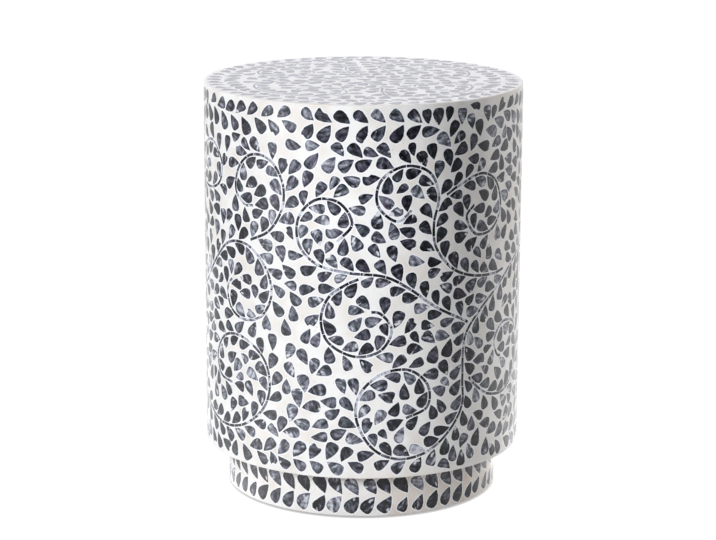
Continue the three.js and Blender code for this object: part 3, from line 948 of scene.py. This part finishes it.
rim = put(shell_tree, "ShaderNodeAttribute", attribute_name="shell_rim").outputs["Fac"]
number = put(shell_tree, "ShaderNodeSeparateXYZ", {0: spot}).outputs["Z"]
shell_place = here_in(shell_tree)
grain_terms = {"Vector": spot, "Angle": reckon(shell_tree, "MULTIPLY", number, 2 * np.pi)}
grain = put(shell_tree, "ShaderNodeVectorRotate", grain_terms, rotation_type="Z_AXIS").outputs[0]


def numbered(factor):
    """A bit of shell's own number times a factor, so that each figure is another one in each bit."""
    return reckon(shell_tree, "MULTIPLY", number, factor)


def shell_figure(patches, factor):
    """A noise figure drawn out in the shell's own grain."""
    return figure(shell_tree, times(shell_tree, grain, (*patches, 0.0)), 1.0, 2.0, numbered(factor))


def toned(tone, value, strength):
    """Adds a figure to a tone, from its own middle up or down."""
    return reckon(shell_tree, "MULTIPLY_ADD", reckon(shell_tree, "SUBTRACT", value, 0.5), strength, tone)


def ramped(tree, value, stops):
    """A colour that runs through stops, each a place from nothing to one with the colour there."""
    ramp = put(tree, "ShaderNodeValToRGB", {0: value})
    elements = ramp.color_ramp.elements
    while len(elements) < len(stops):
        elements.new(0.5)
    for element, (position, colour) in zip(elements, stops):
        element.position = position
        element.color = colour
    return ramp.outputs[0]


# Clouds, bands and fine lines of growth, pale flashes painted as highlights, and edges ground thin and dark
cloud = figure(shell_tree, shell_place, shell_cloud_patches, 2.0, numbered(37.0))
growth = shell_figure(growth_patches, 17.0)
tone = toned(cut_tone, cloud, cloud_strength)
tone = toned(tone, shell_figure(band_patches, 71.0), band_strength)
tone = toned(tone, growth, growth_strength)
painted_flash = spread(shell_tree, shell_figure(painted_flash_patches, 53.0), *painted_flash_edges)
painted_flash = reckon(shell_tree, "MULTIPLY", painted_flash, spread(shell_tree, number, *painted_flash_numbers))
tone = reckon(shell_tree, "MULTIPLY_ADD", painted_flash, painted_flash_strength, tone)
tone = reckon(shell_tree, "MULTIPLY_ADD", reckon(shell_tree, "POWER", rim, 2.0), rim_strength, tone)
shell_colour = ramped(shell_tree, tone, shell_tones)

# A little violet and green, and in some bits small white patches of painted glint
sheen = figure(shell_tree, shell_place, sheen_patches, 1.0, numbered(91.0))
violet_share = spread(shell_tree, sheen, *violet_edges, 0.0, violet_strength)
green_share = spread(shell_tree, sheen, *green_edges, 0.0, green_strength)
shell_colour = blended(shell_tree, violet_share, shell_colour, violet_sheen)
shell_colour = blended(shell_tree, green_share, shell_colour, green_sheen)
painted_glint = spread(shell_tree, shell_figure(painted_glint_patches, 13.0), *painted_glint_edges)
painted_glint = reckon(shell_tree, "MULTIPLY", painted_glint, spread(shell_tree, number, *painted_glint_numbers))
painted_glint = reckon(shell_tree, "MULTIPLY", painted_glint, painted_glint_strength)
shell_marks = effect(shell_tree, polish_marks, Wave_Scale=shell_wave_patches)
shell_height = reckon(shell_tree, "MULTIPLY_ADD", growth, growth_rise, shell_marks["Height"])
feed(
    shell_tree, shell_shader,
    Base_Color=blended(shell_tree, painted_glint, shell_colour, painted_glint_white),
    Roughness=reckon(shell_tree, "MULTIPLY_ADD", cloud, shell_dulling, shell_roughness),
    Normal=relief(shell_tree, shell_height, *shell_relief),
)

tone_chance = (1.3, 3.2)
# Painted highlight: the turn, reach and strength of a pull towards one paler tone on the side towards the
# key lamp
highlight_turn = -0.36
highlight_spread = 0.55
highlight_tone = 0.62
highlight_share = 0.62
strip_tone_kinds = (0.1, 0.45, 0.8)
strip_tone_shares = (0.45, 0.33, 0.22)
strip_tone_spread = 0.1


def tones(leaves, radius, rng):
    """Most bits of shell are dark and a few are pale, as a lop-sided chance gives them. A bell curve of the
    turn, a little left of the front towards the key lamp, draws their tones towards one paler tone: a
    painted highlight."""
    tone = rng.beta(*tone_chance, len(leaves))
    off_highlight = (leaves[:, 0] / radius - highlight_turn) / highlight_spread
    return tone + highlight_share * np.exp(-off_highlight**2) * (highlight_tone - tone)


def strip_tones(count, rng):
    """Strips are dark, grey or pale by chance."""
    kinds = rng.choice(strip_tone_kinds, count, p=strip_tone_shares)
    return kinds + rng.uniform(-strip_tone_spread, strip_tone_spread, count)


def inlaid(where, laid, strips, around, past_edge, wrap, radius, rng):
    """The shell of one face: its leaves are cut, ground down and laid, then its strips, and filler is
    worked in round them all. Returns the piece that holds the leaves."""
    cut = ground_down(laid, cut_leaves(laid, rng), around, past_edge, strips)
    leaves = shell_piece(f"{where}_leaves", leaf_meshes(laid, cut, wrap), tones(laid, radius, rng), rng)
    if strips is not None:
        shell_piece(f"{where}_stems", stem_meshes(strips, wrap), strip_tones(len(strips), rng), rng)
    filler_piece(f"{where}_leaf_filler", laid_out(*cut[:2], laid), leaf_filler_width, wrap, rng)
    if strips is not None:
        filler_piece(f"{where}_stem_filler", strip_outlines(strips), stem_filler_width, wrap, rng)
    return leaves


def on_side(shares):
    """Places on the side's flat drawing, from shares of a repeat's width and of the drum's height."""
    return [(across * repeat_width, drum_bottom + up * drum_height) for across, up in shares]


def repeated(laid):
    """What is laid in one repeat, laid again in each of the others."""
    step = np.zeros(laid.shape[-1])
    step[0] = repeat_width
    return np.vstack([laid + k * step for k in range(side_repeats)])


side_seed = 4
side_rng = np.random.default_rng(side_seed)
side_lower = drum_bottom + side_border
side_upper = drum_top - top_border
side_ground = Ground(
    (-repeat_width / 2, drum_bottom), (repeat_width / 2, drum_top),
    lambda across, up: np.minimum(up - side_lower, side_upper - up) + fill_gap, True, side_ease,
)
side_stems = [smooth_line(on_side(shares)) for shares in side_stem_shares]
side_garlands = [smooth_line(on_side(shares)) for shares in side_garland_shares]
lay_stems(side_ground, side_stems)
for line, way in side_stems:
    lay_along(side_ground, line, way, rng=side_rng, **stem_laying)
for line, way in side_garlands:
    lay_along(side_ground, line, way, rng=side_rng, **garland_laying)
fill_ground(side_ground, side_stems + side_garlands, side_rng)
side_laid = repeated(np.array(side_ground.leaves))
side_strips = repeated(cut_stems(side_stems, side_rng))
highest_leaf = drum_top - top_arris - leaf_filler_width
side_leaves = inlaid(
    "side", side_laid, side_strips, side_repeats * repeat_width,
    lambda places: places[..., 1] > highest_leaf, bent_round(drum_radius), drum_radius, side_rng,
)
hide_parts("side_shell_inlay")

# Shell leaves and stems of the top
# The same teardrops and strips let into the flat top: a wreath of leaf pairs round the edge with four
# scrolls inside it. The photograph shows the top too flat to read, so the scrolls follow the side's.
top_repeats = 4
wreath_share = 0.88
wreath_places = 25
wreath_laying = {"pitch": 18.5 * mm, "off": 1.2 * mm, "lean": 0.85, "gap": 1.3 * mm}

# Places of one scroll, as shares of a quarter turn and of the top's radius
top_stem_shares = [
    [(0.0, 0.07), (0.16, 0.2), (0.2, 0.36), (0.14, 0.53), (0.16, 0.68), (0.36, 0.765), (0.6, 0.77),
     (0.8, 0.7), (0.88, 0.56), (0.8, 0.42), (0.62, 0.39), (0.5, 0.46), (0.5, 0.57), (0.62, 0.6)],
]


def on_top(flat, depth):
    """A flat drawing laid on the top."""
    return np.stack([flat[..., 0], flat[..., 1], drum_top - depth + np.zeros(flat.shape[:-1])], -1)


def quarter(shares, k):
    """Places of one scroll in its quarter of the top: a turn and a reach for each."""
    turns = [(front + (k + turn) * 2 * np.pi / top_repeats, reach * drum_radius) for turn, reach in shares]
    return [(reach * np.cos(turn), reach * np.sin(turn)) for turn, reach in turns]


top_seed = 9
top_rng = np.random.default_rng(top_seed)
top_ground = Ground(
    (-drum_radius, -drum_radius), (drum_radius, drum_radius),
    lambda across, up: drum_radius - top_border - np.hypot(across, up) + fill_gap, False,
)
top_stems = [smooth_line(quarter(shares, k)) for shares in top_stem_shares for k in range(top_repeats)]
wreath_turn = np.linspace(0, -2 * np.pi, wreath_places)
wreath_round = np.column_stack([np.cos(wreath_turn), np.sin(wreath_turn)])
wreath = smooth_line(wreath_round * wreath_share * drum_radius)
lay_stems(top_ground, top_stems)
lay_along(top_ground, *wreath, rng=top_rng, **wreath_laying)
for line, way in top_stems:
    lay_along(top_ground, line, way, rng=top_rng, **stem_laying)
fill_ground(top_ground, top_stems + [wreath], top_rng)
top_laid = np.array(top_ground.leaves)
top_strips = cut_stems(top_stems, top_rng)
# The top has no seam, so its leaves are never compared over one
no_seam = 8 * drum_radius
farthest_leaf = drum_radius - top_arris - leaf_filler_width
top_leaves = inlaid(
    "top", top_laid, top_strips, no_seam,
    lambda places: np.hypot(places[..., 0], places[..., 1]) > farthest_leaf, on_top, drum_radius, top_rng,
)
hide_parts("top_shell_inlay")

# Plinth resin and leaves
# The plinth ring has the same resin, with painted shade that makes its right half darker and a little
# pinker, and one band of leaf pairs whose tips meet in a row half way up and whose round ends point left.
# They are larger than the drum's and stand steeper.
plinth_low, plinth_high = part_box("plinth_resin_ground")
plinth_ply_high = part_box("plinth_ring")[1]
plinth_radius = plinth_high.y
plinth_bottom, plinth_top = plinth_low.z, plinth_high.z
plinth_pairs = 52
plinth_heart = plinth_bottom + 23.3 * mm
plinth_start = -3.2 * mm
plinth_shift_spread = 0.5 * mm
plinth_tip_gap = 0.7 * mm
plinth_lean = 1.0
plinth_lean_spread = 0.06
plinth_leaf_size = 1.18
plinth_size_range = (0.95, 1.04)
plinth_inner = plinth_ply_high.y + glue_line
plinth_outer = plinth_radius - shell_proud
plinth_profile = np.vstack([
    [plinth_inner, plinth_bottom],
    rounded((plinth_outer - foot_arris, plinth_bottom + foot_arris), foot_arris, -90, 0),
    rounded((plinth_outer - foot_arris / 2, plinth_top - foot_arris / 2), foot_arris / 2, 0, 90),
    [plinth_inner, plinth_top],
])
# Painted shade: right of the front, away from the key lamp, the resin's colour is multiplied by a darker,
# pinker tint
shaded_side_edges = (18 * mm, 30 * mm)
no_tint = (1.0, 1.0, 1.0, 1.0)
painted_shade_tint = tint(243, 237, 233)
plinth_finish = resin_finish.copy()
plinth_finish.name = "plinth_resin_with_painted_shade"
plinth_tree = plinth_finish.node_tree
plinth_shader = plinth_tree.nodes["Principled BSDF"]
across_plinth = put(plinth_tree, "ShaderNodeSeparateXYZ", {0: here_in(plinth_tree)}).outputs["X"]
painted_shade = blended(plinth_tree, spread(plinth_tree, across_plinth, *shaded_side_edges), no_tint, painted_shade_tint)
poured = plinth_shader.inputs["Base Color"].links[0].from_socket
feed(plinth_tree, plinth_shader, Base_Color=times(plinth_tree, poured, painted_shade))
plinth_skin = turned_skin(plinth_profile, drum_turns)
plinth_resin = new_piece("plinth_resin", *plinth_skin, plinth_finish, "polished_resin")
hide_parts("plinth_resin_ground")

plinth_seed = 6
plinth_rng = np.random.default_rng(plinth_seed)
pair_at = plinth_start + np.arange(plinth_pairs) * 2 * np.pi * plinth_radius / plinth_pairs
plinth_laid = np.vstack([
    np.column_stack([
        pair_at + plinth_rng.normal(0, plinth_shift_spread, plinth_pairs),
        np.full(plinth_pairs, plinth_heart + side * plinth_tip_gap),
        np.pi - side * (plinth_lean + plinth_rng.normal(0, plinth_lean_spread, plinth_pairs)),
        plinth_leaf_size * plinth_rng.uniform(*plinth_size_range, plinth_pairs),
    ])
    for side in (1, -1)
])
lowest_leaf = plinth_bottom + foot_arris + leaf_filler_width
plinth_leaves = inlaid(
    "plinth", plinth_laid, None, 2 * np.pi * plinth_radius,
    lambda places: places[..., 1] < lowest_leaf, bent_round(plinth_radius), plinth_radius, plinth_rng,
)
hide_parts("plinth_shell_inlay")

# Studio
# A floor of white paper, soft lamps at the front left, the front and both sides behind, and three narrow
# lamps over one another. The gloss mirrors white surroundings, brighter beside the stool and behind it.
white = (1.0, 1.0, 1.0, 1.0)
floor_reach = 9.0
floor_steps = 64
world_fill = (0.2, 0.195, 0.19, 1.0)
# How bright what the gloss mirrors is at each turn from the front, in degrees
glow_stops = [
    (-180, 1.12), (-150, 0.9), (-120, 0.5), (-96, 0.45), (-75, 1.2), (-58, 1.7), (-42, 0.9), (-27, 0.4),
    (-8, 0.1), (30, 0.03), (64, 0.2), (82, 0.4), (103, 1.1), (125, 0.8), (150, 0.8), (180, 1.12),
]
near_glow = 0.6
sky_glow = (1.17, 1.17, 1.25)
near_reach = 0.4
far_reach = 1.6
contact_reach = 6 * mm
painted_contact_shadow = (0.1, 0.75, 0.4, 1.12)
seen_white_share = 0.9
paper_reach = 0.5
room_reach = 1.1
paper_white = 0.76
room_grey = 0.2

glow, glow_in, glow_out = new_effect(
    "studio_glow",
    [("Direction", "NodeSocketVector", (0.0, 0.0, 0.0))],
    [("Brightness", "NodeSocketColor")],
)
apart = put(glow, "ShaderNodeSeparateXYZ", {0: glow_in["Direction"]}).outputs
bearing = reckon(glow, "ARCTAN2", apart["X"], reckon(glow, "MULTIPLY", apart["Y"], -1.0))
glow_levels = [((turn + 180) / 360, (level, level, level, 1.0)) for turn, level in glow_stops]
feed(glow, glow_out, Brightness=ramped(glow, spread(glow, bearing, -np.pi, np.pi), glow_levels))

world = bpy.data.worlds.new("studio")
world.use_nodes = True
bpy.context.scene.world = world
sky = world.node_tree
rays = put(sky, "ShaderNodeLightPath").outputs
mirrored = effect(sky, glow, Direction=put(sky, "ShaderNodeTexCoord").outputs["Generated"])["Brightness"]
sky_colour = blended(sky, rays["Is Glossy Ray"], world_fill, times(sky, mirrored, sky_glow))
seen_straight = reckon(sky, "MAXIMUM", rays["Is Camera Ray"], rays["Is Transmission Ray"])
feed(sky, sky.nodes["Background"], Color=blended(sky, seen_straight, sky_colour, white))


def glowing(tree, colour, strength):
    """Light that a surface gives off."""
    return put(tree, "ShaderNodeEmission", {"Color": colour, "Strength": strength}).outputs[0]


def either(tree, share, first, second):
    """A surface that goes from the first to the second as the share goes from nothing to one."""
    return put(tree, "ShaderNodeMixShader", {0: share, 1: first, 2: second}).outputs[0]


floor_turn = np.linspace(0, 2 * np.pi, floor_steps, endpoint=False)
floor_round = np.column_stack([np.cos(floor_turn), np.sin(floor_turn), np.zeros(floor_steps)])
floor_points = floor_round * floor_reach
floor_mesh = bpy.data.meshes.new("studio_floor")
floor_mesh.from_pydata(floor_points.tolist(), [], [list(range(floor_steps))])
floor = bpy.data.objects.new("studio_floor", floor_mesh)
bpy.context.scene.collection.objects.link(floor)
floor_finish = bpy.data.materials.new("white_floor")
floor_finish.use_nodes = True
floor_mesh.materials.append(floor_finish)
tree = floor_finish.node_tree
tree.nodes.remove(tree.nodes["Principled BSDF"])
rays = put(tree, "ShaderNodeLightPath").outputs
away = put(tree, "ShaderNodeVectorMath", {0: here_in(tree)}, operation="LENGTH").outputs["Value"]
paper = spread(tree, away, paper_reach, room_reach, paper_white, room_grey)
matt = put(tree, "ShaderNodeBsdfDiffuse", {"Color": paper}).outputs[0]
# The floor's white glow is dimmed by ambient occlusion under and beside the plinth: a painted contact
# shadow
open_share = put(tree, "ShaderNodeAmbientOcclusion", {"Distance": contact_reach}).outputs["AO"]
seen = either(tree, seen_white_share, matt, glowing(tree, white, spread(tree, open_share, *painted_contact_shadow)))
mirrored = effect(tree, glow, Direction=here_in(tree))["Brightness"]
far_light = glowing(tree, mirrored, 1.0)
near_light = glowing(tree, white, spread(tree, away, near_reach, far_reach, near_glow, 0.0))
reflected = put(tree, "ShaderNodeAddShader", {0: far_light, 1: near_light}).outputs[0]
shown = either(tree, rays["Is Camera Ray"], matt, seen)
feed(tree, tree.nodes["Material Output"], Surface=either(tree, rays["Is Glossy Ray"], shown, reflected))

lamp_distance = 2.6
cool_white = (0.93, 0.96, 1.0)
warm_white = (1.0, 0.985, 0.965)
# Turn from the front and lift in degrees, width, power and colour of each soft lamp
soft_lamps = {
    "key_lamp": (-45, 20, 0.6, 44.5, cool_white),
    "front_lamp": (6, 18, 0.8, 10, cool_white),
    "right_lamp": (126, 20, 0.8, 39, warm_white),
    "left_lamp": (-126, 20, 0.8, 26, cool_white),
}
edge_turn = -57
edge_lift = 15
edge_aside = 0.2415
edge_beam = 0.124
edge_bulb = 0.1
# Height over the stool's middle and power of each narrow lamp
edge_lamps = {"low_edge_lamp": (-0.13, 165), "middle_edge_lamp": (0.0, 172), "high_edge_lamp": (0.13, 322)}


def hang(name, lamp, turn, lift, aside=0.0, above=0.0):
    """Hangs a lamp that looks at the stool's middle from a turn round it and a lift above it, and then
    moves it aside and up without turning it."""
    turn, lift = np.radians([turn, lift])
    back = np.array([np.sin(turn) * np.cos(lift), -np.cos(turn) * np.cos(lift), np.sin(lift)])
    right = np.array([np.cos(turn), np.sin(turn), 0.0])
    place = np.eye(4)
    place[:3, :3] = np.column_stack([right, np.cross(back, right), back])
    place[:3, 3] = back * lamp_distance + right * aside + [0, 0, drum_top / 2 + above]
    lamp_object = bpy.data.objects.new(name, lamp)
    lamp_object.matrix_world = Matrix(place.tolist())
    lamp_object.visible_glossy = False
    bpy.context.scene.collection.objects.link(lamp_object)


for name, (turn, lift, width, power, colour) in soft_lamps.items():
    lamp = bpy.data.lights.new(name, "AREA")
    lamp.size = width
    lamp.energy = power
    lamp.color = colour
    hang(name, lamp, turn, lift)

# The narrow lamps' soft-edged beams pass beside the stool's axis and light the drum only a little right of
# its front
for name, (above, power) in edge_lamps.items():
    lamp = bpy.data.lights.new(name, "SPOT")
    lamp.spot_size = 2 * np.arctan(edge_beam / lamp_distance)
    lamp.spot_blend = 1.0
    lamp.shadow_soft_size = edge_bulb
    lamp.energy = power
    lamp.color = cool_white
    hang(name, lamp, edge_turn, edge_lift, edge_aside, above)

scene = bpy.context.scene
scene.view_settings.view_transform = "Standard"
